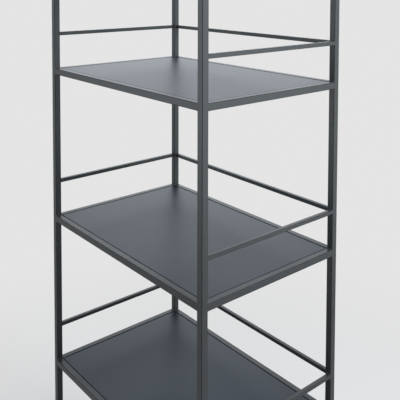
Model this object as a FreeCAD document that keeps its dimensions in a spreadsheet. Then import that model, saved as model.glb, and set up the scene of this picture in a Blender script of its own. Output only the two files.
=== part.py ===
import FreeCAD, Part
import os

import Sketcher

# Open steel display shelf: four square posts, stacked shelf frames with inset sheet
# panels, guard rails on three sides of every shelf and four levelling feet.
# Frame of the part: +X to the right, +Y to the back, +Z up, with the origin on the
# floor under the middle of the shelf. The front, where no rail closes a shelf, is -Y.
# All lengths are in millimetres.

# Driving sizes, each with the words that the sheet shows beside it
driving_sizes = [
    ("shelf_width", 600, "width over the outer faces of the posts"),
    ("shelf_depth", 400, "depth over the outer faces of the posts"),
    ("level_count", 5, "number of shelves"),
    ("level_spacing", 383, "from the top of one shelf frame to the next"),
    ("first_level_top", 120, "top of the lowest shelf frame above the floor"),
    ("tube_size", 15, "side of the square tube of posts and rims"),
    ("tube_wall", 1.5, "wall of that tube"),
    ("tube_corner", 1.1, "outer corner radius of that tube"),
    ("rail_size", 9, "side of the square bar of the guard rails"),
    ("rail_corner", 0.6, "corner radius of that bar"),
    ("rail_top", 92, "top of a guard rail above its shelf frame"),
    ("post_rise", 4, "post end above the top guard rail"),
    ("panel_gap", 1.5, "groove between a panel and its rims"),
    ("panel_recess", 0.5, "panel top below the top of its rims"),
    ("panel_sheet", 1.5, "sheet thickness of a panel"),
    ("panel_bend", 1, "outer radius of a panel's folded edges"),
    ("tab_length", 24, "support tab along its rim"),
    ("tab_reach", 12, "support tab out from its rim"),
    ("tab_thickness", 2, "flat bar of a support tab"),
    ("tab_place_share", 0.6, "place of a tab from mid rim to the rim's end"),
    ("cap_head", 2, "head of a post's end cap"),
    ("cap_edge", 0.5, "rounding of the cap's top edge"),
    ("cap_plug", 14, "plug of the cap inside the post"),
    ("insert_flange", 2, "flange of a foot insert under the post"),
    ("insert_plug", 20, "plug of the insert inside the post"),
    ("plug_chamfer", 1, "lead-in of cap and insert plugs"),
    ("plug_clearance", 0.1, "play between a plug and the post's bore"),
    ("stud_share", 0.2, "radius of the foot's threaded stud, of the tube's side"),
    ("stud_length", 28, "whole length of the stud"),
    ("stud_chamfer", 0.6, "lead-in at the stud's end"),
    ("stud_clearance", 0.05, "play between the stud and its holes"),
    ("pad_setback", 0.5, "round base of a levelling foot inside the tube's faces"),
    ("pad_height", 4, "height of that base"),
    ("pad_edge", 0.8, "rounding of the base's lower edge"),
    ("collar_setback", 1.5, "corners of the hexagon inside the round base"),
    ("collar_height", 2, "height of the hexagon"),
    ("socket_depth", 3, "stud's seat in the foot"),
    ("foot_gap", 3, "stud that shows between the foot and the insert at rest"),
]

# Share of the tube's wall by which an edge may miss a place and still be found there
found_share = 0.01
quarter_turn = 90

# Expressions that more than one sub-part takes its size or place from
half_width = "sizes.shelf_width / 2"
half_depth = "sizes.shelf_depth / 2"
half_tube = "sizes.tube_size / 2"
inner_width = "(sizes.shelf_width - 2 * sizes.tube_size)"
inner_depth = "(sizes.shelf_depth - 2 * sizes.tube_size)"
plug_width = "(sizes.tube_size - 2 * sizes.tube_wall - 2 * sizes.plug_clearance)"
foot_height = "(sizes.pad_height + sizes.collar_height)"
insert_bottom = "(sizes.pad_height + sizes.collar_height + sizes.foot_gap)"
post_bottom = f"({insert_bottom} + sizes.insert_flange)"
flange_height = "(sizes.tube_size - sizes.panel_recess - sizes.tab_thickness)"
stud_radius = "(sizes.stud_share * sizes.tube_size)"
hole_radius = "(sizes.stud_share * sizes.tube_size + sizes.stud_clearance)"
pad_radius = "(sizes.tube_size / 2 - sizes.pad_setback)"

doc = FreeCAD.newDocument("display_shelf")


def make_sheet():
    sheet = doc.addObject("Spreadsheet::Sheet", "sizes")
    for row, (alias, value, words) in enumerate(driving_sizes, start=1):
        sheet.set(f"A{row}", words)
        sheet.set(f"B{row}", str(value))
        sheet.setAlias(f"B{row}", alias)
    doc.recompute()
    return sheet


sizes = make_sheet()
near = found_share * sizes.tube_wall


def level_top(index):
    return f"(sizes.first_level_top + {index} * sizes.level_spacing)"


def post_top():
    last = int(sizes.level_count) - 1
    return f"({level_top(last)} + sizes.rail_top + sizes.post_rise)"


def place(item, x, y, z, axis=None, turn=0):
    if axis is not None:
        item.Placement = FreeCAD.Placement(FreeCAD.Vector(), FreeCAD.Rotation(axis, turn))
    item.setExpression("Placement.Base.x", x)
    item.setExpression("Placement.Base.y", y)
    item.setExpression("Placement.Base.z", z)


# Sketches and features shared by the bodies
def new_body(label):
    body = doc.addObject("PartDesign::Body", label)
    body.Label = label
    return body


def new_sketch(body, name):
    plane = next(item for item in body.Origin.OriginFeatures if item.Role == "XY_Plane")
    sketch = body.newObject("Sketcher::SketchObject", name)
    sketch.AttachmentSupport = [(plane, "")]
    sketch.MapMode = "FlatFace"
    return sketch


def add_rectangle(sketch, name, width, depth):
    # A rectangle about the sketch's origin, started as a square of the tube's size
    half = sizes.tube_size / 2
    points = [(-half, -half), (half, -half), (half, half), (-half, half)]
    first = sketch.GeometryCount
    for start, end in zip(points, points[1:] + points[:1]):
        line = Part.LineSegment(FreeCAD.Vector(*start, 0), FreeCAD.Vector(*end, 0))
        sketch.addGeometry(line, False)
    bottom, right, top, left = range(first, first + len(points))
    for side, following in ((bottom, right), (right, top), (top, left), (left, bottom)):
        sketch.addConstraint(Sketcher.Constraint("Coincident", side, 2, following, 1))
    sketch.addConstraint(Sketcher.Constraint("Horizontal", bottom))
    sketch.addConstraint(Sketcher.Constraint("Horizontal", top))
    sketch.addConstraint(Sketcher.Constraint("Vertical", right))
    sketch.addConstraint(Sketcher.Constraint("Vertical", left))
    sketch.addConstraint(Sketcher.Constraint("Symmetric", bottom, 1, right, 2, -1, 1))
    for direction, side, size in (("DistanceX", bottom, width), ("DistanceY", right, depth)):
        number = sketch.addConstraint(Sketcher.Constraint(direction, side, 1, side, 2, 2 * half))
        sketch.renameConstraint(number, f"{name}{direction}")
        sketch.setExpression(f"Constraints.{name}{direction}", size)


def add_pad(body, name, sketch, length, downwards=False):
    pad = body.newObject("PartDesign::Pad", name)
    pad.Profile = sketch
    pad.setExpression("Length", length)
    pad.Reversed = downwards
    doc.recompute()
    return pad


def add_pocket(body, name, sketch, length):
    # The solid stands above the sketch, so the cut goes up
    before = body.Shape.Volume
    pocket = body.newObject("PartDesign::Pocket", name)
    pocket.Profile = sketch
    pocket.Reversed = True
    pocket.setExpression("Length", length)
    doc.recompute()
    if pocket.Shape.Volume >= before:
        raise RuntimeError(f"{body.Label}: {name} cut nothing")
    return pocket


def box_edges(shape, upright, at_top):
    # Names of the edges on the outline of the shape's box: its uprights, its top ones
    box = shape.BoundBox
    names = []
    for number, edge in enumerate(shape.Edges, start=1):
        span = edge.BoundBox
        on_x = min(abs(span.XMin - box.XMin), abs(span.XMax - box.XMax)) < near
        on_y = min(abs(span.YMin - box.YMin), abs(span.YMax - box.YMax)) < near
        stands = span.ZLength > near and span.XLength < near and span.YLength < near
        high = span.ZLength < near and abs(span.ZMax - box.ZMax) < near
        if stands and upright and on_x and on_y:
            names.append(f"Edge{number}")
        if high and at_top and (on_x or on_y):
            names.append(f"Edge{number}")
    return names


def edges_at_height(shape, z):
    names = []
    for number, edge in enumerate(shape.Edges, start=1):
        span = edge.BoundBox
        if abs(span.ZMin - z) < near and abs(span.ZMax - z) < near:
            names.append(f"Edge{number}")
    return names


def round_edges(body, name, base, edges, radius):
    fillet = body.newObject("PartDesign::Fillet", name)
    fillet.Base = (base, edges)
    fillet.setExpression("Radius", radius)
    doc.recompute()
    return fillet


def chamfer_edges(body, name, base, edges, size):
    chamfer = body.newObject("PartDesign::Chamfer", name)
    chamfer.Base = (base, edges)
    chamfer.setExpression("Size", size)
    doc.recompute()
    return chamfer


# Posts, rims and rails: square stock, drawn upright from the sketch and then turned
def make_stock(label, length, size, corner, wall=None):
    body = new_body(label)
    sketch = new_sketch(body, f"{label}_section")
    add_rectangle(sketch, "outer", size, size)
    if wall is not None:
        add_rectangle(sketch, "inner", f"{size} - 2 * {wall}", f"{size} - 2 * {wall}")
    pad = add_pad(body, f"{label}_length", sketch, length)
    edges = box_edges(pad.Shape, upright=True, at_top=False)
    round_edges(body, f"{label}_corners", pad, edges, corner)
    return body


def make_tube(label, length):
    return make_stock(label, length, "sizes.tube_size", "sizes.tube_corner", "sizes.tube_wall")


def make_rail_bar(label, length):
    return make_stock(label, length, "sizes.rail_size", "sizes.rail_corner")


along_x = (FreeCAD.Vector(0, 1, 0), quarter_turn)
along_y = (FreeCAD.Vector(1, 0, 0), -quarter_turn)

corners = [
    ("front_left", "-", "-"),
    ("front_right", "", "-"),
    ("back_left", "-", ""),
    ("back_right", "", ""),
]


def corner_place(x_sign, y_sign):
    return f"{x_sign}({half_width} - {half_tube})", f"{y_sign}({half_depth} - {half_tube})"


def make_posts():
    posts = []
    for name, x_sign, y_sign in corners:
        post = make_tube(f"{name}_post", f"{post_top()} - {post_bottom}")
        place(post, *corner_place(x_sign, y_sign), post_bottom)
        posts.append(post)
    return posts


# The four rims of one shelf, butted between the posts and flush with their faces
def make_rims(prefix, top):
    middle = f"{top} - {half_tube}"
    rims = []
    for side, y_sign in (("front", "-"), ("back", "")):
        rim = make_tube(f"{prefix}_{side}_rim", inner_width)
        y = f"{y_sign}({half_depth} - {half_tube})"
        place(rim, f"-{inner_width} / 2", y, middle, *along_x)
        rims.append(rim)
    for side, x_sign in (("left", "-"), ("right", "")):
        rim = make_tube(f"{prefix}_{side}_rim", inner_depth)
        x = f"{x_sign}({half_width} - {half_tube})"
        place(rim, x, f"-{inner_depth} / 2", middle, *along_y)
        rims.append(rim)
    return rims


# Guard rails on the left, the right and the back, flush with the posts' outer faces
def make_rails(prefix, top):
    middle = f"{top} + sizes.rail_top - sizes.rail_size / 2"
    rails = []
    for side, x_sign in (("left", "-"), ("right", "")):
        rail = make_rail_bar(f"{prefix}_{side}_rail", inner_depth)
        x = f"{x_sign}({half_width} - sizes.rail_size / 2)"
        place(rail, x, f"-{inner_depth} / 2", middle, *along_y)
        rails.append(rail)
    rail = make_rail_bar(f"{prefix}_back_rail", inner_width)
    y = f"{half_depth} - sizes.rail_size / 2"
    place(rail, f"-{inner_width} / 2", y, middle, *along_x)
    rails.append(rail)
    return rails


# A panel is one sheet folded down on all four sides, standing on the support tabs
def make_panel(prefix, top):
    body = new_body(f"{prefix}_panel")
    width = f"{inner_width} - 2 * sizes.panel_gap"
    depth = f"{inner_depth} - 2 * sizes.panel_gap"
    outline = new_sketch(body, f"{prefix}_panel_outline")
    add_rectangle(outline, "outer", width, depth)
    pad = add_pad(body, f"{prefix}_panel_block", outline, flange_height)
    hollow = new_sketch(body, f"{prefix}_panel_hollow")
    wall = "2 * sizes.panel_sheet"
    add_rectangle(hollow, "inner", f"{width} - {wall}", f"{depth} - {wall}")
    pocket = add_pocket(body, f"{prefix}_panel_fold", hollow, f"{flange_height} - sizes.panel_sheet")
    edges = box_edges(pocket.Shape, upright=True, at_top=True)
    round_edges(body, f"{prefix}_panel_edges", pocket, edges, "sizes.panel_bend")
    place(body, "0", "0", f"{top} - sizes.panel_recess - {flange_height}")
    return body


# Support tabs welded inside the rims: two on each long rim, one on each short rim
def make_tab(label, x_size, y_size, x_middle, y_middle, bottom):
    tab = doc.addObject("Part::Box", label)
    tab.setExpression("Length", x_size)
    tab.setExpression("Width", y_size)
    tab.setExpression("Height", "sizes.tab_thickness")
    place(tab, f"{x_middle} - {x_size} / 2", f"{y_middle} - {y_size} / 2", bottom)
    return tab


def make_tabs(prefix, top):
    bottom = f"{top} - sizes.tube_size"
    reach_x = f"({inner_width} / 2 - sizes.tab_reach / 2)"
    reach_y = f"({inner_depth} / 2 - sizes.tab_reach / 2)"
    aside = f"sizes.tab_place_share * {inner_width} / 2"
    tabs = []
    for side, y_sign in (("front", "-"), ("back", "")):
        for end, x_sign in (("left", "-"), ("right", "")):
            label = f"{prefix}_tab_{side}_{end}"
            x = f"{x_sign}{aside}"
            y = f"{y_sign}{reach_y}"
            tabs.append(make_tab(label, "sizes.tab_length", "sizes.tab_reach", x, y, bottom))
    for side, x_sign in (("left", "-"), ("right", "")):
        label = f"{prefix}_tab_{side}"
        x = f"{x_sign}{reach_x}"
        tabs.append(make_tab(label, "sizes.tab_reach", "sizes.tab_length", x, "0", bottom))
    return make_group(f"{prefix}_panel_tabs", tabs)


def make_group(label, items):
    group = doc.addObject("Part::Compound", label)
    group.Label = label
    group.Links = items
    return group


# A plug that fills the post's bore under or over a head as wide as the post
def add_plug(body, label, head_height, plug_length, head_below):
    head_sketch = new_sketch(body, f"{label}_head_outline")
    add_rectangle(head_sketch, "head", "sizes.tube_size", "sizes.tube_size")
    head = add_pad(body, f"{label}_head", head_sketch, head_height, downwards=head_below)
    uprights = box_edges(head.Shape, upright=True, at_top=False)
    head = round_edges(body, f"{label}_head_corners", head, uprights, "sizes.tube_corner")
    if not head_below:
        rim = edges_at_height(head.Shape, head.Shape.BoundBox.ZMax)
        round_edges(body, f"{label}_head_edge", head, rim, "sizes.cap_edge")
    plug_sketch = new_sketch(body, f"{label}_plug_outline")
    add_rectangle(plug_sketch, "plug", plug_width, plug_width)
    plug = add_pad(body, f"{label}_plug", plug_sketch, plug_length, downwards=not head_below)
    return plug


def make_caps():
    caps = []
    for name, x_sign, y_sign in corners:
        label = f"{name}_cap"
        body = new_body(label)
        plug = add_plug(body, label, "sizes.cap_head", "sizes.cap_plug", head_below=False)
        edges = edges_at_height(plug.Shape, plug.Shape.BoundBox.ZMin)
        chamfer_edges(body, f"{label}_lead_in", plug, edges, "sizes.plug_chamfer")
        place(body, *corner_place(x_sign, y_sign), post_top())
        caps.append(body)
    return make_group("post_end_caps", caps)


# Threaded inserts in the lower ends of the posts, bored through for the studs
def make_inserts():
    inserts = []
    for name, x_sign, y_sign in corners:
        label = f"{name}_insert"
        body = new_body(label)
        plug = add_plug(body, label, "sizes.insert_flange", "sizes.insert_plug", head_below=True)
        edges = edges_at_height(plug.Shape, plug.Shape.BoundBox.ZMax)
        chamfer_edges(body, f"{label}_lead_in", plug, edges, "sizes.plug_chamfer")
        cut = body.newObject("PartDesign::SubtractiveCylinder", f"{label}_bore")
        cut.setExpression("Radius", hole_radius)
        cut.setExpression("Height", "sizes.insert_flange + sizes.insert_plug")
        cut.setExpression("Placement.Base.z", "-sizes.insert_flange")
        place(body, *corner_place(x_sign, y_sign), post_bottom)
        inserts.append(body)
    return make_group("foot_inserts", inserts)


# Levelling feet: a base with a hexagon for the spanner, and a stud seated in it
def make_foot_base(label, x, y):
    body = new_body(label)
    disc = body.newObject("PartDesign::AdditiveCylinder", f"{label}_disc")
    disc.setExpression("Radius", pad_radius)
    disc.setExpression("Height", "sizes.pad_height")
    doc.recompute()
    lower = edges_at_height(disc.Shape, disc.Shape.BoundBox.ZMin)
    round_edges(body, f"{label}_edge", disc, lower, "sizes.pad_edge")
    collar = body.newObject("PartDesign::AdditivePrism", f"{label}_hexagon")
    collar.Polygon = 6
    collar.setExpression("Circumradius", f"{pad_radius} - sizes.collar_setback")
    collar.setExpression("Height", "sizes.collar_height")
    collar.setExpression("Placement.Base.z", "sizes.pad_height")
    socket = body.newObject("PartDesign::SubtractiveCylinder", f"{label}_socket")
    socket.setExpression("Radius", hole_radius)
    socket.setExpression("Height", "sizes.socket_depth")
    socket.setExpression("Placement.Base.z", f"{foot_height} - sizes.socket_depth")
    place(body, x, y, "0")
    return body


def make_foot_stud(label, x, y):
    body = new_body(label)
    rod = body.newObject("PartDesign::AdditiveCylinder", f"{label}_rod")
    rod.setExpression("Radius", stud_radius)
    rod.setExpression("Height", "sizes.stud_length")
    doc.recompute()
    tip = edges_at_height(rod.Shape, rod.Shape.BoundBox.ZMax)
    chamfer_edges(body, f"{label}_tip", rod, tip, "sizes.stud_chamfer")
    place(body, x, y, f"{foot_height} - sizes.socket_depth")
    return body


def make_feet():
    feet = []
    for name, x_sign, y_sign in corners:
        x, y = corner_place(x_sign, y_sign)
        feet.append(make_foot_base(f"{name}_foot_base", x, y))
        feet.append(make_foot_stud(f"{name}_foot_stud", x, y))
    return feet


def make_shelves():
    pieces = []
    for index in range(int(sizes.level_count)):
        prefix = f"shelf_{index + 1}"
        top = level_top(index)
        pieces += make_rims(prefix, top)
        pieces += make_rails(prefix, top)
        pieces.append(make_panel(prefix, top))
        pieces.append(make_tabs(prefix, top))
    return pieces


# Every sub-part is tested before any file is written
def test_pieces(pieces):
    for item in doc.Objects:
        faults = [state for state in item.State if state in ("Invalid", "Error")]
        if faults:
            raise RuntimeError(f"{item.Label}: {faults}")
    for piece in pieces:
        if piece.Shape.isNull() or not piece.Shape.isValid():
            raise RuntimeError(f"{piece.Label}: no valid shape")


def write_pieces(pieces):
    os.makedirs("parts", exist_ok=True)
    for piece in pieces:
        piece.Shape.exportStep(f"parts/{piece.Label}.step")
        solids = len(piece.Shape.Solids)
        print(f"{piece.Label}: {solids} solids, {piece.Shape.Volume:.0f} cubic mm")


sub_parts = make_posts() + make_shelves() + [make_caps(), make_inserts()] + make_feet()
doc.recompute()
test_pieces(sub_parts)
write_pieces(sub_parts)
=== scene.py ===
import math

import bmesh
import bpy
from mathutils import Matrix, Vector


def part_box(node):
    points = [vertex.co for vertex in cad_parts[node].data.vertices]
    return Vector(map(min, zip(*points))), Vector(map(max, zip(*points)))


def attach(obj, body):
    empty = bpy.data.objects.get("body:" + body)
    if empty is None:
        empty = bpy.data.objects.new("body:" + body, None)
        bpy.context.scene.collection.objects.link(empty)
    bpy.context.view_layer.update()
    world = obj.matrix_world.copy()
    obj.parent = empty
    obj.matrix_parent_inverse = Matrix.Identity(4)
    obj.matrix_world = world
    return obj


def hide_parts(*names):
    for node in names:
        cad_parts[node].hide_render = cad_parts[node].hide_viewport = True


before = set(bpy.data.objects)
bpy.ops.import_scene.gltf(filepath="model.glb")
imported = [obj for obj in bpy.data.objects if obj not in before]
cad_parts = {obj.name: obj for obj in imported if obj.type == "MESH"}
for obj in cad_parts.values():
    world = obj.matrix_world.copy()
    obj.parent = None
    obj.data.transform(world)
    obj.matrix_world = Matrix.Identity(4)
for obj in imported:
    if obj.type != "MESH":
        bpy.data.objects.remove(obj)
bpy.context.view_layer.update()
mm = 0.001
levels = 5
corners = ("front_left", "front_right", "back_left", "back_right")
print("packed shelf loaded:", len(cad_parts), "nodes")


# Adds a node, sets its options and feeds its inputs with values or with other sockets
def put(tree, kind, feeds=None, **options):
    node = tree.nodes.new(kind)
    for name, value in options.items():
        setattr(node, name, value)
    for name, value in (feeds or {}).items():
        if isinstance(value, bpy.types.NodeSocket):
            tree.links.new(value, node.inputs[name])
        else:
            node.inputs[name].default_value = value
    return node


def maths(tree, operation, first, second):
    return put(tree, "ShaderNodeMath", {0: first, 1: second}, operation=operation).outputs[0]


# Goes from low to high while the value goes from start to end
def mapRange(tree, value, low, high, start=0.0, end=1.0, **options):
    feeds = {"Value": value, "From Min": start, "From Max": end, "To Min": low, "To Max": high}
    return put(tree, "ShaderNodeMapRange", feeds, **options).outputs["Result"]


# The finishes: two powder coats, three moulded plastics and zinc plate
coatLook = {
    "dark": (0.0234, 0.0263, 0.0270, 1),
    "light": (0.0264, 0.0294, 0.0302, 1),
    # edge: the dark colour of the painted shade laid along edges, welds, tab sides and tube bores
    "edge": (0.008, 0.009, 0.0095, 1),
    "gloss": (0.90, 0.95, 0.96, 1),
    "specular": 0.45,
    "cloudScale": 9.0,
    "toneRange": (0.3, 0.7),
    "speckRatio": 14,
    "leastEdgeShade": 0.7,
    "roughLow": 0.36,
    "roughHigh": 0.42,
    "roughEdge": 0.65,
    "peelScale": 620.0,
    "peelDepth": 0.05 * mm,
    "grainScale": 2600.0,
    "grainDepth": 0.012 * mm,
}
sheetLook = {
    "dark": (0.0145, 0.0186, 0.0254, 1),
    "light": (0.0162, 0.0206, 0.0280, 1),
    # edge: the dark colour of the painted shade laid along the panels' bends, lips and folds
    "edge": (0.010, 0.013, 0.017, 1),
    "gloss": (0.66, 0.77, 0.86, 1),
    "specular": 0.45,
    "cloudScale": 5.0,
    "toneRange": (0.3, 0.7),
    "speckRatio": 14,
    "leastEdgeShade": 0.7,
    "roughLow": 0.41,
    "roughHigh": 0.43,
    "roughEdge": 0.65,
    "peelScale": 480.0,
    "peelDepth": 0.006 * mm,
    "grainScale": 2100.0,
    "grainDepth": 0.003 * mm,
}
plasticLook = {
    "cap": (0.019, 0.022, 0.024, 1),
    "insert": (0.016, 0.016, 0.017, 1),
    "foot": (0.012, 0.012, 0.013, 1),
    "paler": 1.35,  # how much lighter the colour gets in the clouds
    "cloudScale": 140.0,
    "toneRange": (0.35, 0.75),
    "roughLow": 0.42,
    "roughHigh": 0.55,
    "grainScale": 3200.0,
    "grainDepth": 0.02 * mm,
}
zincLook = {
    "cool": (0.52, 0.54, 0.56, 1),
    "warm": (0.62, 0.60, 0.55, 1),
    "cloudScale": 160.0,
    "toneRange": (0.35, 0.65),
    "roughLow": 0.26,
    "roughHigh": 0.42,
    "scratchScale": 900.0,
    "scratchDepth": 0.01 * mm,
    "scratchStretch": (0.25, 0.25, 4.0),
}
noiseLook = {"detail": 3.0, "fineDetail": 2.0, "roughness": 0.55, "usualRange": (0.3, 0.7)}


def newFinish(name):
    finish = bpy.data.materials.new(name)
    finish.use_nodes = True
    tree = finish.node_tree
    place = put(tree, "ShaderNodeTexCoord").outputs["Object"]
    return finish, tree, tree.nodes["Principled BSDF"], place


def cloudNoise(tree, place, scale, detail=noiseLook["detail"]):
    feeds = {"Vector": place, "Scale": scale, "Detail": detail, "Roughness": noiseLook["roughness"]}
    return put(tree, "ShaderNodeTexNoise", feeds).outputs["Fac"]


def colourRamp(tree, factor, positions, colours):
    ramp = put(tree, "ShaderNodeValToRGB", {"Fac": factor})
    for element, position, colour in zip(ramp.color_ramp.elements, positions, colours):
        element.position = position
        element.color = colour
    return ramp.outputs["Color"]


# Spreads a noise, which seldom leaves its usual range, from low to high
def between(tree, noise, low, high):
    return mapRange(tree, noise, low, high, *noiseLook["usualRange"])


def bumpLayer(tree, place, scale, depth, below=None):
    height = cloudNoise(tree, place, scale, noiseLook["fineDetail"])
    feeds = {"Height": height, "Distance": depth, "Strength": 1.0}
    if below is not None:
        feeds["Normal"] = below
    return put(tree, "ShaderNodeBump", feeds).outputs["Normal"]


# Baked powder coat: cloudy tone, with painted shade darkening it along the rounded edges, where it is
# also duller
def powderCoat(name, look):
    finish, tree, shader, place = newFinish(name)
    cloud = cloudNoise(tree, place, look["cloudScale"])
    tone = colourRamp(tree, cloud, look["toneRange"], (look["dark"], look["light"]))
    edge = put(tree, "ShaderNodeAttribute", attribute_name="edge").outputs["Fac"]
    speck = cloudNoise(tree, place, look["cloudScale"] * look["speckRatio"])
    # Painted shade: the edge attribute, broken up by the speck noise, mixes the colour towards the
    # dark edge colour
    edgeShade = maths(tree, "MULTIPLY", edge, between(tree, speck, look["leastEdgeShade"], 1.0))
    feeds = {"Fac": edgeShade, "Color1": tone, "Color2": look["edge"]}
    colour = put(tree, "ShaderNodeMixRGB", feeds).outputs["Color"]
    tree.links.new(colour, shader.inputs["Base Color"])
    rough = between(tree, speck, look["roughLow"], look["roughHigh"])
    rough = mapRange(tree, edge, rough, look["roughEdge"])
    tree.links.new(rough, shader.inputs["Roughness"])
    shader.inputs["Specular IOR Level"].default_value = look["specular"]
    shader.inputs["Specular Tint"].default_value = look["gloss"]
    peel = bumpLayer(tree, place, look["peelScale"], look["peelDepth"])
    grain = bumpLayer(tree, place, look["grainScale"], look["grainDepth"], peel)
    tree.links.new(grain, shader.inputs["Normal"])
    return finish


# Moulded plastic with the fine spark-eroded grain of its mould
def mouldedPlastic(name, colour, look):
    finish, tree, shader, place = newFinish(name)
    cloud = cloudNoise(tree, place, look["cloudScale"])
    paler = tuple(part * look["paler"] for part in colour[:3]) + (1,)
    tone = colourRamp(tree, cloud, look["toneRange"], (colour, paler))
    tree.links.new(tone, shader.inputs["Base Color"])
    rough = between(tree, cloud, look["roughLow"], look["roughHigh"])
    tree.links.new(rough, shader.inputs["Roughness"])
    grain = bumpLayer(tree, place, look["grainScale"], look["grainDepth"])
    tree.links.new(grain, shader.inputs["Normal"])
    return finish


# Bright zinc plate with a faint warm and cool drift and fine turning marks
def zincPlate(name, look):
    finish, tree, shader, place = newFinish(name)
    cloud = cloudNoise(tree, place, look["cloudScale"])
    tone = colourRamp(tree, cloud, look["toneRange"], (look["cool"], look["warm"]))
    tree.links.new(tone, shader.inputs["Base Color"])
    shader.inputs["Metallic"].default_value = 1.0
    rough = between(tree, cloud, look["roughLow"], look["roughHigh"])
    tree.links.new(rough, shader.inputs["Roughness"])
    feeds = {"Vector": place, "Scale": look["scratchStretch"]}
    stretched = put(tree, "ShaderNodeMapping", feeds).outputs["Vector"]
    marks = bumpLayer(tree, stretched, look["scratchScale"], look["scratchDepth"])
    tree.links.new(marks, shader.inputs["Normal"])
    return finish


frameCoat = powderCoat("frameCoat", coatLook)
sheetCoat = powderCoat("sheetCoat", sheetLook)
capPlastic = mouldedPlastic("capPlastic", plasticLook["cap"], plasticLook)
insertPlastic = mouldedPlastic("insertPlastic", plasticLook["insert"], plasticLook)
footPlastic = mouldedPlastic("footPlastic", plasticLook["foot"], plasticLook)
studZinc = zincPlate("studZinc", zincLook)
print("finishes mixed")


# An outline has points (x, y, edge, facing), facing being its outward angle, and a loop
# has points (x, y, z, edge). Edge says how much painted shade a powder coat lays on a point, and how
# much duller it gets there: all of it at 1
outlineSizes = {"steps": 5, "margin": 0.35 * mm}
fullEdge = 1.0
# halfEdge lays half the painted shade inside the tube bores
halfEdge = 0.5


# A rounded rectangle, counter-clockwise, with one plain point on each side of every corner
def roundedOutline(width, depth, radius, margin=outlineSizes["margin"]):
    steps = outlineSizes["steps"]
    outline = []
    for quarter in range(4):
        sx, sy = ((1, 1), (-1, 1), (-1, -1), (1, -1))[quarter]
        cx, cy = sx * (width / 2 - radius), sy * (depth / 2 - radius)
        start = quarter * math.pi / 2
        turns = [start + math.pi / 2 * step / steps for step in range(steps + 1)]
        arc = [(cx + radius * math.cos(t), cy + radius * math.sin(t), fullEdge, t) for t in turns]
        before = (-math.sin(start) * -margin, math.cos(start) * -margin)
        after = (-math.sin(turns[-1]) * margin, math.cos(turns[-1]) * margin)
        outline.append((arc[0][0] + before[0], arc[0][1] + before[1], 0.0, start))
        outline += arc
        outline.append((arc[-1][0] + after[0], arc[-1][1] + after[1], 0.0, turns[-1]))
    return outline


# A circle whose points lie in the same directions as those of an outline
def circleLike(outline, radius):
    turns = [math.atan2(y, x) for x, y, edge, facing in outline]
    return [(radius * math.cos(turn), radius * math.sin(turn), 0.0, turn) for turn in turns]


def atHeight(outline, z, edge=None):
    return [(x, y, z, own if edge is None else edge) for x, y, own, facing in outline]


def squareLoop(size, corner, z, edge=None):
    return atHeight(roundedOutline(size, size, corner), z, edge)


# Skins a run of loops that all have the same number of points
def skin(made, loops, capFirst=False, capLast=False):
    wear = made.verts.layers.float.get("edge") or made.verts.layers.float.new("edge")
    rings = []
    for loop in loops:
        ring = []
        for x, y, z, edge in loop:
            vert = made.verts.new((x, y, z))
            vert[wear] = edge
            ring.append(vert)
        rings.append(ring)
    for low, high in zip(rings, rings[1:]):
        for i, vert in enumerate(low):
            j = (i + 1) % len(low)
            made.faces.new((vert, low[j], high[j], high[i]))
    if capFirst:
        made.faces.new(list(reversed(rings[0])))
    if capLast:
        made.faces.new(rings[-1])


# Lays a loop across a bar, its x to the side and its y upwards
def movedLoop(loop, side, up, centre):
    moved = []
    for x, y, z, edge in loop:
        place = centre + side * x + up * y
        moved.append((place.x, place.y, place.z, edge))
    return moved


def newPiece(name, made, smoothAngle=32, mergeDistance=1e-7):
    bmesh.ops.remove_doubles(made, verts=made.verts, dist=mergeDistance)
    mesh = bpy.data.meshes.new(name)
    made.to_mesh(mesh)
    made.free()
    mesh.shade_smooth()
    mesh.set_sharp_from_angle(angle=math.radians(smoothAngle))
    piece = bpy.data.objects.new(name, mesh)
    bpy.context.scene.collection.objects.link(piece)
    return piece


# A geometry node tree that takes a mesh and the named inputs
def newTree(name, sockets):
    tree = bpy.data.node_groups.new(name, "GeometryNodeTree")
    face = tree.interface
    face.new_socket("Geometry", in_out="INPUT", socket_type="NodeSocketGeometry")
    for label, kind in sockets:
        face.new_socket(label, in_out="INPUT", socket_type="NodeSocket" + kind)
    face.new_socket("Geometry", in_out="OUTPUT", socket_type="NodeSocketGeometry")
    return tree, put(tree, "NodeGroupInput").outputs


def finishTree(tree, geometry, material):
    real = put(tree, "GeometryNodeRealizeInstances", {"Geometry": geometry})
    feeds = {"Geometry": real.outputs[0], "Material": material}
    painted = put(tree, "GeometryNodeSetMaterial", feeds)
    put(tree, "NodeGroupOutput", {"Geometry": painted.outputs[0]})
    return tree


# Repeats what it is given from one shelf to the next
def levelTree():
    sockets = [("Count", "Int"), ("Spacing", "Float"), ("Finish", "Material")]
    tree, given = newTree("levelTree", sockets)
    step = put(tree, "ShaderNodeCombineXYZ", {"Z": given["Spacing"]})
    feeds = {"Count": given["Count"], "Offset": step.outputs[0]}
    line = put(tree, "GeometryNodeMeshLine", feeds)
    feeds = {"Points": line.outputs[0], "Instance": given["Geometry"]}
    stack = put(tree, "GeometryNodeInstanceOnPoints", feeds)
    return finishTree(tree, stack.outputs[0], given["Finish"])


# Repeats what it is given at the four posts
def cornerTree():
    sockets = [("Width", "Float"), ("Depth", "Float"), ("Finish", "Material")]
    tree, given = newTree("cornerTree", sockets)
    feeds = {"Size X": given["Width"], "Size Y": given["Depth"], "Vertices X": 2, "Vertices Y": 2}
    grid = put(tree, "GeometryNodeMeshGrid", feeds)
    feeds = {"Points": grid.outputs["Mesh"], "Instance": given["Geometry"]}
    four = put(tree, "GeometryNodeInstanceOnPoints", feeds)
    return finishTree(tree, four.outputs[0], given["Finish"])


threadSizes = {"steps": 28, "halfWidth": 0.47}  # steps in a turn, half a ridge as a share of the pitch


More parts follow.
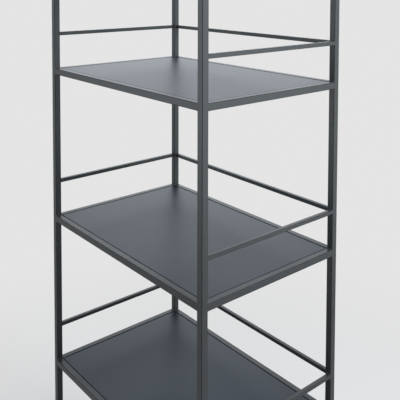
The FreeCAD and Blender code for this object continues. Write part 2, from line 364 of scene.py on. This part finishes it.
# Winds a thread's ridge round the rod that it is given
def threadTree():
    names = ("Radius", "Depth", "Pitch", "Turns", "Start")
    sockets = [(name, "Float") for name in names] + [("Finish", "Material")]
    tree, given = newTree("threadTree", sockets)
    height = maths(tree, "MULTIPLY", given["Pitch"], given["Turns"])
    middle = maths(tree, "SUBTRACT", given["Radius"], given["Depth"])
    feeds = {"Resolution": threadSizes["steps"], "Rotations": given["Turns"], "Height": height}
    feeds.update({"Start Radius": middle, "End Radius": middle})
    helix = put(tree, "GeometryNodeCurveSpiral", feeds)
    upright = put(tree, "GeometryNodeSetCurveNormal", {"Curve": helix.outputs[0]}, mode="Z_UP")
    tall = maths(tree, "MULTIPLY", given["Depth"], 2.0)
    wide = maths(tree, "MULTIPLY", given["Pitch"], threadSizes["halfWidth"])
    feeds = {"Width": tall, "Bottom Height": wide, "Top Height": wide}
    tooth = put(tree, "GeometryNodeCurvePrimitiveQuadrilateral", feeds, mode="KITE")
    feeds = {"Curve": upright.outputs[0], "Profile Curve": tooth.outputs[0], "Fill Caps": True}
    ridge = put(tree, "GeometryNodeCurveToMesh", feeds)
    lift = put(tree, "ShaderNodeCombineXYZ", {"Z": given["Start"]})
    feeds = {"Geometry": ridge.outputs[0], "Translation": lift.outputs[0]}
    raised = put(tree, "GeometryNodeTransform", feeds)
    both = put(tree, "GeometryNodeJoinGeometry")
    tree.links.new(raised.outputs[0], both.inputs[0])
    tree.links.new(given["Geometry"], both.inputs[0])
    return finishTree(tree, both.outputs[0], given["Finish"])


# Runs a tree on a piece and keeps the result as its plain mesh
def grow(piece, tree, values):
    growth = piece.modifiers.new(tree.name, "NODES")
    growth.node_group = tree
    for item in tree.interface.items_tree:
        if item.in_out == "INPUT" and item.name in values:
            growth[item.identifier] = values[item.name]
    bpy.context.view_layer.update()
    graph = bpy.context.evaluated_depsgraph_get()
    evaluated = piece.evaluated_get(graph)
    grown = bpy.data.meshes.new_from_object(
        evaluated, preserve_all_data_layers=True, depsgraph=graph)
    piece.modifiers.remove(growth)
    piece.data = grown
    grown.name = piece.name


levelRepeat = levelTree()
cornerRepeat = cornerTree()
threadRidge = threadTree()


def growLevels(piece, finish):
    values = {"Count": levels, "Spacing": rimSizes["spacing"], "Finish": finish}
    grow(piece, levelRepeat, values)


def growCorners(piece, finish):
    grow(piece, cornerRepeat, {"Width": 2 * postX, "Depth": 2 * postY, "Finish": finish})


def settle(piece, body, slot, *nodes):
    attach(piece, body)
    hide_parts(*nodes)
    print("  ", piece.name, len(piece.data.polygons), "faces for", len(nodes), "nodes")


def nodesOf(sides, kind):
    return [f"shelf_{level}_{side}_{kind}" for level in range(1, levels + 1) for side in sides]


lowPost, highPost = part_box("front_right_post")
postX = (lowPost.x + highPost.x) / 2
postY = -(lowPost.y + highPost.y) / 2
innerX = lowPost.x
innerY = -highPost.y
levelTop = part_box("shelf_1_front_rim")[1].z

postSizes = {
    "size": 15 * mm, "wall": 1.5 * mm, "corner": 1.1 * mm, "boreCorner": 0.4 * mm, "seam": 0.25 * mm,
}


def makePosts():
    size, corner, seam = postSizes["size"], postSizes["corner"], postSizes["seam"]
    bore, boreCorner = size - 2 * postSizes["wall"], postSizes["boreCorner"]
    bottom, top = lowPost.z, highPost.z
    loops = [
        squareLoop(size, corner, bottom + seam),
        squareLoop(size, corner, top - seam),
        squareLoop(size - 2 * seam, corner - seam, top, fullEdge),
        squareLoop(bore, boreCorner, top, halfEdge),
        squareLoop(bore, boreCorner, bottom, halfEdge),
        squareLoop(size - 2 * seam, corner - seam, bottom, fullEdge),
    ]
    made = bmesh.new()
    skin(made, loops + loops[:1])
    posts = newPiece("posts", made)
    growCorners(posts, frameCoat)
    settle(posts, "frame", "frame_coat", *[corner + "_post" for corner in corners])


rimSizes = {
    "size": 15 * mm, "wall": 1.5 * mm, "corner": 1.1 * mm, "boreCorner": 0.4 * mm, "weld": 1.6 * mm,
    "spacing": 383 * mm,
}
railSizes = {"size": 9 * mm, "corner": 0.6 * mm, "weld": 1.3 * mm, "top": 92 * mm}
weldSizes = {
    "rings": 5, "edge": 0.35,
    "level": 0.4,  # reach of the dressed part, as a share of the fillet's
    "ripple": 0.07, "rippleTurn": 2.4,  # share of the reach, and turn from one point to the next
    "flushFrom": 0.25, "flushOver": 0.65,  # cosine where the dressing starts, and its range
    "sunk": 0.03 * mm, "clear": 0.015 * mm,  # depth of its rims, and distance behind the outer face
}


# A bar of tube, or a solid one, from one point to another along X or Y
def addBar(made, start, end, sizes):
    axis = (end - start).normalized()
    up = Vector((0, 0, 1))
    side = up.cross(axis)
    outer = squareLoop(sizes["size"], sizes["corner"], 0)
    ends = [movedLoop(outer, side, up, start), movedLoop(outer, side, up, end)]
    if "wall" not in sizes:
        skin(made, ends, capFirst=True, capLast=True)
        return
    bore = squareLoop(sizes["size"] - 2 * sizes["wall"], sizes["boreCorner"], 0, halfEdge)
    hollow = [movedLoop(bore, side, up, end), movedLoop(bore, side, up, start)]
    skin(made, ends + hollow + ends[:1])


# The weld at a bar's end: a small fillet round it, dressed flush on the outer faces
def addWeld(made, place, along, out, sizes):
    up = Vector((0, 0, 1))
    reach, rings = sizes["weld"], weldSizes["rings"]
    outline = roundedOutline(sizes["size"], sizes["size"], sizes["corner"])

    def pointAt(ring, index):
        x, y, edge, facing = outline[index]
        turn = math.pi / 2 * ring / rings
        share = ring / rings
        normal = out * math.cos(facing) + up * math.sin(facing)
        dressed = (math.cos(facing) - weldSizes["flushFrom"]) / weldSizes["flushOver"]
        flush = min(1.0, max(0.0, dressed))
        leg = reach * (1 + weldSizes["ripple"] * math.sin(index * weldSizes["rippleTurn"]))
        base = place + out * x + up * y
        fillet = base + along * leg * (1 - math.sin(turn)) + normal * leg * (1 - math.cos(turn))
        inwards = reach * weldSizes["level"] * (1 - share) - postSizes["corner"] * share
        point = fillet.lerp(base + along * inwards, flush)
        if ring in (0, rings):
            sunk = normal if ring == 0 or flush > 0.5 else along
            point -= sunk * weldSizes["sunk"]
        proud = (point - place).dot(out) - (sizes["size"] / 2 - weldSizes["clear"])
        point -= out * max(0.0, proud)
        return point.x, point.y, point.z, weldSizes["edge"]

    loops = [[pointAt(ring, index) for index in range(len(outline))] for ring in range(rings + 1)]
    if out.cross(up).dot(along) > 0:
        loops.reverse()
    skin(made, loops)


# The bars at one height, each as (first end, last end, outward direction)
def barRuns(height, size, sides):
    halfX, halfY = highPost.x - size / 2, -lowPost.y - size / 2
    runs = {
        "front": ((-innerX, -halfY), (innerX, -halfY), (0, -1)),
        "back": ((innerX, halfY), (-innerX, halfY), (0, 1)),
        "left": ((-halfX, innerY), (-halfX, -innerY), (-1, 0)),
        "right": ((halfX, -innerY), (halfX, innerY), (1, 0)),
    }
    for side in sides:
        start, end, out = runs[side]
        yield Vector((*start, height)), Vector((*end, height)), Vector((*out, 0))


def makeBars(name, sizes, height, sides, nodes):
    made = bmesh.new()
    for start, end, out in barRuns(height, sizes["size"], sides):
        addBar(made, start, end, sizes)
        along = (end - start).normalized()
        addWeld(made, start, along, out, sizes)
        addWeld(made, end, -along, out, sizes)
    bars = newPiece(name, made)
    growLevels(bars, frameCoat)
    settle(bars, "frame", "frame_coat", *nodes)


def makeShelfFrames():
    sides = ("front", "back", "left", "right")
    height = levelTop - rimSizes["size"] / 2
    makeBars("shelf_frames", rimSizes, height, sides, nodesOf(sides, "rim"))


def makeGuardRails():
    sides = ("left", "right", "back")
    height = levelTop + railSizes["top"] - railSizes["size"] / 2
    makeBars("guard_rails", railSizes, height, sides, nodesOf(sides, "rail"))


panelSizes = {
    "sheet": 1.5 * mm, "bend": 1.0 * mm, "corner": 1.2 * mm, "leastCorner": 0.2 * mm, "steps": 5,
    # foldEdge lays some painted shade in the small round inside the folds
    "fold": 0.3 * mm, "foldBand": 0.8 * mm, "foldEdge": 0.3,  # the small round inside the folds
    "lip": 0.2 * mm,  # the eased lower edge of the flanges
    "topMargin": 0.35 * mm, "sideMargin": 0.3 * mm,  # plain strips beside the outer bend
}


# A tray: loops run from the top's underside down inside the flanges, and up outside them
def makePanels():
    low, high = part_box("shelf_1_panel")
    width, depth = high.x - low.x, high.y - low.y
    sheet, bend, steps = panelSizes["sheet"], panelSizes["bend"], panelSizes["steps"]
    fold, band, foldEdge = panelSizes["fold"], panelSizes["foldBand"], panelSizes["foldEdge"]
    lip, underside = panelSizes["lip"], high.z - sheet

    def loopAt(inset, z, edge=None):
        corner = max(panelSizes["leastCorner"], panelSizes["corner"] - inset)
        return atHeight(roundedOutline(width - 2 * inset, depth - 2 * inset, corner), z, edge)

    loops = [
        loopAt(sheet + band, underside, 0.0),
        loopAt(sheet + fold, underside, foldEdge),
        loopAt(sheet, underside - fold, foldEdge),
        loopAt(sheet, underside - band, 0.0),
        loopAt(sheet, low.z + lip),
        loopAt(sheet - lip, low.z, fullEdge),
        loopAt(lip, low.z, fullEdge),
        loopAt(0.0, low.z + lip),
        loopAt(0.0, high.z - bend - panelSizes["sideMargin"]),
    ]
    for step in range(steps + 1):
        turn = math.pi / 2 * step / steps
        inset = bend * (1 - math.cos(turn))
        loops.append(loopAt(inset, high.z - bend * (1 - math.sin(turn)), fullEdge))
    loops.append(loopAt(bend + panelSizes["topMargin"], high.z, 0.0))
    made = bmesh.new()
    skin(made, loops, capFirst=True, capLast=True)
    panels = newPiece("panels", made)
    growLevels(panels, sheetCoat)
    settle(panels, "frame", "panel_coat", *[f"shelf_{n}_panel" for n in range(1, levels + 1)])


tabSizes = {
    "length": 24 * mm, "reach": 12 * mm, "thick": 2 * mm, "corner": 2.5 * mm, "steps": 4,
    "ease": 0.25 * mm, "sideEdge": 0.6,
    "share": 0.6,  # the outer tabs' distance from the middle, as a share of half the rim
}


# A tab is flat bar with its two free corners rounded
def tabOutline():
    corner, steps = tabSizes["corner"], tabSizes["steps"]
    half, reach = tabSizes["length"] / 2, tabSizes["reach"]
    turns = [math.pi / 2 * step / steps for step in range(steps + 1)]
    outline = [(-half, 0), (half, 0)]
    for sign, order in ((1, turns), (-1, turns[::-1])):
        for turn in order:
            x = sign * (half - corner + corner * math.cos(turn))
            outline.append((x, reach - corner + corner * math.sin(turn)))
    return outline


# Stands a tab square to its rim, along it and away from out
def addTab(made, centre, along, out):
    thick, ease, sideEdge = tabSizes["thick"], tabSizes["ease"], tabSizes["sideEdge"]
    layers = (
        (ease, 0, fullEdge), (0, ease, sideEdge),
        (0, thick - ease, sideEdge), (ease, thick, fullEdge))
    loops = []
    for shrink, height, edge in layers:
        loop = []
        for x, y in tabOutline():
            x -= math.copysign(shrink, x)
            y -= shrink if y > tabSizes["reach"] / 2 else 0
            place = centre + along * x - out * y
            loop.append((place.x, place.y, centre.z + height, edge))
        loops.append(loop)
    if along.cross(out).z > 0:
        loops = [loop[::-1] for loop in loops]
    skin(made, loops, capFirst=True, capLast=True)


def makeTabs():
    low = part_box("shelf_1_panel_tabs")[0].z
    x, y = Vector((1, 0, 0)), Vector((0, 1, 0))
    made = bmesh.new()
    for sign in (-1, 1):
        for end in (-1, 1):
            place = Vector((end * tabSizes["share"] * innerX, sign * innerY, low))
            addTab(made, place, x, y * sign)
        addTab(made, Vector((sign * innerX, 0, low)), y, x * sign)
    tabs = newPiece("panel_tabs", made)
    growLevels(tabs, frameCoat)
    settle(tabs, "frame", "frame_coat", *[f"shelf_{n}_panel_tabs" for n in range(1, levels + 1)])


capSizes = {
    "size": 15 * mm, "corner": 1.1 * mm, "head": 2 * mm, "seam": 0.2 * mm,
    "edge": 0.5 * mm, "steps": 4,
    "crown": 0.15 * mm, "crownRings": (0.8, 0.5, 0.2),
    "plug": 11.8 * mm, "plugCorner": 0.6 * mm, "plugLength": 14 * mm,
    "tip": 9.8 * mm, "tipCorner": 0.4 * mm, "taper": 1 * mm,
}


def makeCaps():
    size, corner, edge, steps = [capSizes[name] for name in ("size", "corner", "edge", "steps")]
    plug, plugCorner, seam = capSizes["plug"], capSizes["plugCorner"], capSizes["seam"]
    base = highPost.z
    end, brow = base - capSizes["plugLength"], base + capSizes["head"] - capSizes["crown"]
    loops = [
        squareLoop(capSizes["tip"], capSizes["tipCorner"], end, 0),
        squareLoop(plug, plugCorner, end + capSizes["taper"], 0),
        squareLoop(plug, plugCorner, base, 0),
        squareLoop(size - 2 * seam, corner, base, 0),
        squareLoop(size, corner, base + seam, 0),
    ]
    for step in range(steps + 1):
        turn = math.pi / 2 * step / steps
        inset = edge * (1 - math.cos(turn))
        rise = brow - edge * (1 - math.sin(turn))
        loops.append(squareLoop(size - 2 * inset, corner - inset, rise, 0))
    for share in capSizes["crownRings"]:
        margin = outlineSizes["margin"] * share
        outline = roundedOutline(size * share, size * share, corner * share, margin)
        loops.append(atHeight(outline, brow + capSizes["crown"] * (1 - share ** 2), 0))
    made = bmesh.new()
    skin(made, loops, capFirst=True, capLast=True)
    caps = newPiece("post_caps", made, smoothAngle=50)
    growCorners(caps, capPlastic)
    settle(caps, "frame", "cap_plastic", "post_end_caps")


insertSizes = {
    "size": 15 * mm, "corner": 1.1 * mm, "flange": 2 * mm, "ease": 0.25 * mm, "seam": 0.15 * mm,
    "plug": 11.8 * mm, "plugCorner": 0.6 * mm, "length": 22 * mm,
    "tip": 9.8 * mm, "tipCorner": 0.4 * mm, "taper": 1 * mm,
    "bore": 3.05 * mm, "lead": 0.4 * mm,
}


def makeInserts():
    size, corner, bore, lead = [insertSizes[name] for name in ("size", "corner", "bore", "lead")]
    plug, plugCorner, ease = insertSizes["plug"], insertSizes["plugCorner"], insertSizes["ease"]
    post = lowPost.z
    low = post - insertSizes["flange"]
    high = low + insertSizes["length"]
    outer = roundedOutline(size, size, corner)
    loops = [
        atHeight(circleLike(outer, bore), low + lead),
        atHeight(circleLike(outer, bore + lead), low),
        squareLoop(size - 2 * ease, corner, low, 0),
        squareLoop(size, corner, low + ease, 0),
        squareLoop(size, corner, post - insertSizes["seam"], 0),
        squareLoop(size - 2 * ease, corner, post, 0),
        squareLoop(plug, plugCorner, post, 0),
        squareLoop(plug, plugCorner, high - insertSizes["taper"], 0),
        squareLoop(insertSizes["tip"], insertSizes["tipCorner"], high, 0),
        atHeight(circleLike(outer, bore), high),
    ]
    made = bmesh.new()
    skin(made, loops + loops[:1])
    inserts = newPiece("foot_inserts_moulded", made)
    growCorners(inserts, insertPlastic)
    settle(inserts, "frame", "insert_plastic", "foot_inserts")


footSizes = {
    "radius": 7 * mm, "height": 4 * mm, "sides": 48, "edge": 0.8 * mm, "edgeSteps": 5,
    "under": ((3, 0.4), (3.4, 0), (4.4, 0), (4.7, 0.4), (5.1, 0.4), (5.4, 0)),  # radius, height in mm
    "shoulder": 0.4 * mm, "shoulderCut": 0.12 * mm, "collarRing": 5.7 * mm,
    "hexagon": 5.5 * mm, "hexagonEase": 0.25 * mm, "collar": 2 * mm, "room": 0.1 * mm,
    "socket": 3.05 * mm, "lead": 0.3 * mm, "seat": 3 * mm,
}
studSizes = {
    "radius": 2.98 * mm, "depth": 0.5 * mm, "pitch": 1 * mm, "turns": 26.5, "start": 0.6 * mm,
    "length": 28 * mm, "sides": 28, "tip": 0.6 * mm,
    "core": 1.15, "taper": 0.7,  # shares of the thread's depth and of the tip's length
}


# Loops on the same directions, round or hexagonal, about the foot's own axis
def footLoops(x, y):
    turns = [2 * math.pi * side / footSizes["sides"] for side in range(footSizes["sides"])]

    def ring(size, z):
        return [(x + size * math.cos(t), y + size * math.sin(t), z, 0.0) for t in turns]

    def hexagon(size, z):
        flat = size * math.cos(math.pi / 6)
        loop = []
        for t in turns:
            reach = flat / math.cos((t % (math.pi / 3)) - math.pi / 6)
            loop.append((x + reach * math.cos(t), y + reach * math.sin(t), z, 0.0))
        return loop

    return ring, hexagon


# The base keeps a little room below the insert where the foot is screwed right in
def makeFootBase(corner, x, y):
    radius, edge, height = footSizes["radius"], footSizes["edge"], footSizes["height"]
    wide, ease = footSizes["hexagon"], footSizes["hexagonEase"]
    socket, lead = footSizes["socket"], footSizes["lead"]
    shoulder, cut = footSizes["shoulder"], footSizes["shoulderCut"]
    seat = height + footSizes["collar"] - footSizes["seat"]
    top = height + footSizes["collar"] - footSizes["room"]
    ring, hexagon = footLoops(x, y)
    loops = [ring(size * mm, rise * mm) for size, rise in footSizes["under"]]
    for step in range(footSizes["edgeSteps"] + 1):
        turn = math.pi / 2 * step / footSizes["edgeSteps"]
        loops.append(ring(radius - edge * (1 - math.sin(turn)), edge * (1 - math.cos(turn))))
    loops += [
        ring(radius, height - shoulder),
        ring(radius - cut, height - cut),
        ring(radius - shoulder, height),
        ring(footSizes["collarRing"], height),
        hexagon(wide, height),
        hexagon(wide, top - ease),
        hexagon(wide - ease, top),
        ring(socket + lead, top),
        ring(socket, top - lead),
        ring(socket, seat),
    ]
    made = bmesh.new()
    skin(made, loops, capFirst=True, capLast=True)
    base = newPiece(corner + "_base", made, smoothAngle=35)
    base.data.materials.append(footPlastic)
    settle(base, corner + "_foot", "foot_plastic", corner + "_foot_base")


# The stud is made on the axis, where its thread winds, and then goes to its foot
def makeFootStud(corner, x, y):
    low = footSizes["height"] + footSizes["collar"] - footSizes["seat"]
    high = low + studSizes["length"]
    core = studSizes["radius"] - studSizes["depth"] * studSizes["core"]
    sides, tip = studSizes["sides"], studSizes["tip"]

    def ring(size, z):
        turns = [2 * math.pi * side / sides for side in range(sides)]
        return [(size * math.cos(t), size * math.sin(t), z, 0.0) for t in turns]

    made = bmesh.new()
    loops = [ring(core, low), ring(core, high - tip), ring(core - tip * studSizes["taper"], high)]
    skin(made, loops, capFirst=True, capLast=True)
    stud = newPiece(corner + "_stud", made, smoothAngle=40)
    values = {
        "Radius": studSizes["radius"], "Depth": studSizes["depth"], "Pitch": studSizes["pitch"],
        "Turns": studSizes["turns"], "Start": low + studSizes["start"], "Finish": studZinc}
    grow(stud, threadRidge, values)
    stud.data.transform(Matrix.Translation((x, y, 0)))
    settle(stud, corner + "_foot", "stud_zinc", corner + "_foot_stud")


def makeFeet():
    for corner in corners:
        x = postX * (1 if "right" in corner else -1)
        y = postY * (1 if "back" in corner else -1)
        makeFootBase(corner, x, y)
        makeFootStud(corner, x, y)


print("making the frame")
makePosts()
makeShelfFrames()
makeGuardRails()
print("making the panels")
makePanels()
makeTabs()
print("making the end caps and feet")
makeCaps()
makeInserts()
makeFeet()


# Lengths in metres. The floor melts into the backdrop between near and far. The room behind the
# photographer lies to roomSide, and turns dark as the cosine to it goes through roomRange
stageSizes = {
    "floor": 60.0, "near": 0.5, "far": 2.0, "roomSide": (0.766, -0.643, 0), "roomRange": (0.5, 0.95),
}
stageLook = {
    "floor": (0.80, 0.80, 0.80, 1), "floorRough": 0.9, "pale": 0.78, "surround": 0.02, "sheen": 0.45,
    "room": 0.12, "least": 0.6, "cool": (0.985, 1.03, 1.085, 1), "lampCool": (0.96, 1.0, 1.05),
}
lampSizes = {
    "overhead": {"place": (0.0, 0.0, 3.6), "aim": (0, 0, 0.8), "size": (3.0, 3.0), "power": 32.0},
    "front": {"place": (1.99, -1.67, 2.6), "aim": (0, 0, 2.6), "size": (1.6, 1.0), "power": 33.0},
    "rightHigh": {"place": (2.56, 0.45, 2.9), "aim": (0, 0, 2.7), "size": (1.2, 0.9), "power": 130.0},
    "right": {"place": (2.52, 0.63, 2.0), "aim": (0, 0, 2.0), "size": (1.2, 0.8), "power": 12.0},
    "rightLow": {"place": (2.16, 1.45, 0.9), "aim": (0, 0, 0.9), "size": (1.4, 1.6), "power": 14.0},
    "backdrop": {"place": (-2.0, 1.66, 1.8), "aim": (0, 0, 1.8), "size": (1.8, 1.0), "power": 8.7},
    "leftHigh": {"place": (-2.36, -1.1, 2.3), "aim": (0, 0, 2.3), "size": (0.9, 0.8), "power": 15.0},
    "left": {"place": (-1.6, -2.05, 1.0), "aim": (0, 0, 1.0), "size": (1.4, 1.6), "power": 14.0},
}


# Camera, gloss and clear rays see the pale backdrop, all other rays see the soft surround
def seenRays(tree):
    path = put(tree, "ShaderNodeLightPath").outputs
    first = maths(tree, "MAXIMUM", path["Is Camera Ray"], path["Is Glossy Ray"])
    return maths(tree, "MAXIMUM", first, path["Is Transmission Ray"])


# Gloss sees the room behind the photographer much darker than the rest of the studio
def roomShade(tree, way):
    level = put(tree, "ShaderNodeVectorMath", {0: way, 1: (1, 1, 0)}, operation="MULTIPLY")
    unit = put(tree, "ShaderNodeVectorMath", {0: level.outputs[0]}, operation="NORMALIZE")
    feeds = {0: unit.outputs[0], 1: stageSizes["roomSide"]}
    facing = put(tree, "ShaderNodeVectorMath", feeds, operation="DOT_PRODUCT").outputs["Value"]
    start, end = stageSizes["roomRange"]
    room = stageLook["room"]
    return mapRange(tree, facing, 1.0, room, start, end, interpolation_type="SMOOTHSTEP")


def makeSurround():
    world = bpy.data.worlds.new("paleStudio")
    world.use_nodes = True
    tree = world.node_tree
    light = tree.nodes["Background"]
    way = put(tree, "ShaderNodeTexCoord").outputs["Generated"]
    isGloss = put(tree, "ShaderNodeLightPath").outputs["Is Glossy Ray"]
    feeds = {"Fac": isGloss, "Color1": (1, 1, 1, 1), "Color2": stageLook["cool"]}
    tree.links.new(put(tree, "ShaderNodeMixRGB", feeds).outputs["Color"], light.inputs["Color"])
    shade = mapRange(tree, isGloss, 1.0, roomShade(tree, way))
    pale = maths(tree, "MULTIPLY", shade, stageLook["pale"])
    strength = mapRange(tree, seenRays(tree), stageLook["surround"], pale)
    tree.links.new(strength, light.inputs["Strength"])
    bpy.context.scene.world = world


# The floor is lit near the shelf, where its shadow lies, and melts into the backdrop further out
def floorFinish():
    finish, tree, shader, place = newFinish("paleFloor")
    shader.inputs["Base Color"].default_value = stageLook["floor"]
    shader.inputs["Roughness"].default_value = stageLook["floorRough"]
    shader.inputs["Specular IOR Level"].default_value = 0.0
    distance = put(tree, "ShaderNodeVectorMath", {0: place}, operation="LENGTH").outputs["Value"]
    near, far = stageSizes["near"], stageSizes["far"]
    least = stageLook["least"]
    away = mapRange(tree, distance, least, 1.0, near, far, interpolation_type="SMOOTHSTEP")
    share = maths(tree, "MULTIPLY", away, seenRays(tree))
    sheen = maths(tree, "MULTIPLY", roomShade(tree, place), stageLook["sheen"])
    isCamera = put(tree, "ShaderNodeLightPath").outputs["Is Camera Ray"]
    level = mapRange(tree, isCamera, sheen, stageLook["pale"])
    glow = put(tree, "ShaderNodeEmission", {"Strength": level}).outputs[0]
    mixed = put(tree, "ShaderNodeMixShader", {0: share, 1: shader.outputs[0], 2: glow}).outputs[0]
    tree.links.new(mixed, tree.nodes["Material Output"].inputs["Surface"])
    return finish


def makeFloor():
    made = bmesh.new()
    bmesh.ops.create_grid(made, x_segments=1, y_segments=1, size=stageSizes["floor"] / 2)
    floor = newPiece("floor", made)
    floor.data.materials.append(floorFinish())


def makeLamp(name, sizes):
    lamp = bpy.data.lights.new(name, "AREA")
    lamp.shape = "RECTANGLE"
    lamp.size, lamp.size_y = sizes["size"]
    lamp.energy = sizes["power"]
    lamp.color = stageLook["lampCool"]
    holder = bpy.data.objects.new(name, lamp)
    holder.location = sizes["place"]
    look = Vector(sizes["aim"]) - holder.location
    holder.rotation_euler = look.to_track_quat("-Z", "Y").to_euler()
    holder.visible_camera = False
    bpy.context.scene.collection.objects.link(holder)


# Place in metres, angles in radians, lens and sensor in millimetres
viewSizes = {
    "place": (1.18998, -0.94809, 1.50564), "yaw": 0.8715, "pitch": -0.0504, "roll": 0.0029,
    "lens": 57.212, "sensor": 36.0, "shiftX": -0.0073, "shiftY": -0.48,
}


def makeCamera():
    yaw, pitch, roll = viewSizes["yaw"], viewSizes["pitch"], viewSizes["roll"]
    ahead = Vector((-math.sin(yaw), math.cos(yaw), 0))
    side = Vector((math.cos(yaw), math.sin(yaw), 0))
    top = Vector((0, 0, 1))
    look = ahead * math.cos(pitch) + top * math.sin(pitch)
    top = top * math.cos(pitch) - ahead * math.sin(pitch)
    right = side * math.cos(roll) + top * math.sin(roll)
    up = top * math.cos(roll) - side * math.sin(roll)
    camera = bpy.data.cameras.new("viewCamera")
    camera.lens = viewSizes["lens"]
    camera.sensor_width = viewSizes["sensor"]
    camera.shift_x = viewSizes["shiftX"]
    camera.shift_y = viewSizes["shiftY"]
    holder = bpy.data.objects.new("viewCamera", camera)
    turned = Matrix((right, up, -look)).transposed().to_4x4()
    holder.matrix_world = Matrix.Translation(viewSizes["place"]) @ turned
    bpy.context.scene.collection.objects.link(holder)
    bpy.context.scene.camera = holder


makeSurround()
makeFloor()
for lampName, lampSize in lampSizes.items():
    makeLamp(lampName, lampSize)
makeCamera()
bpy.context.scene.view_settings.view_transform = "Standard"
print("stage set")
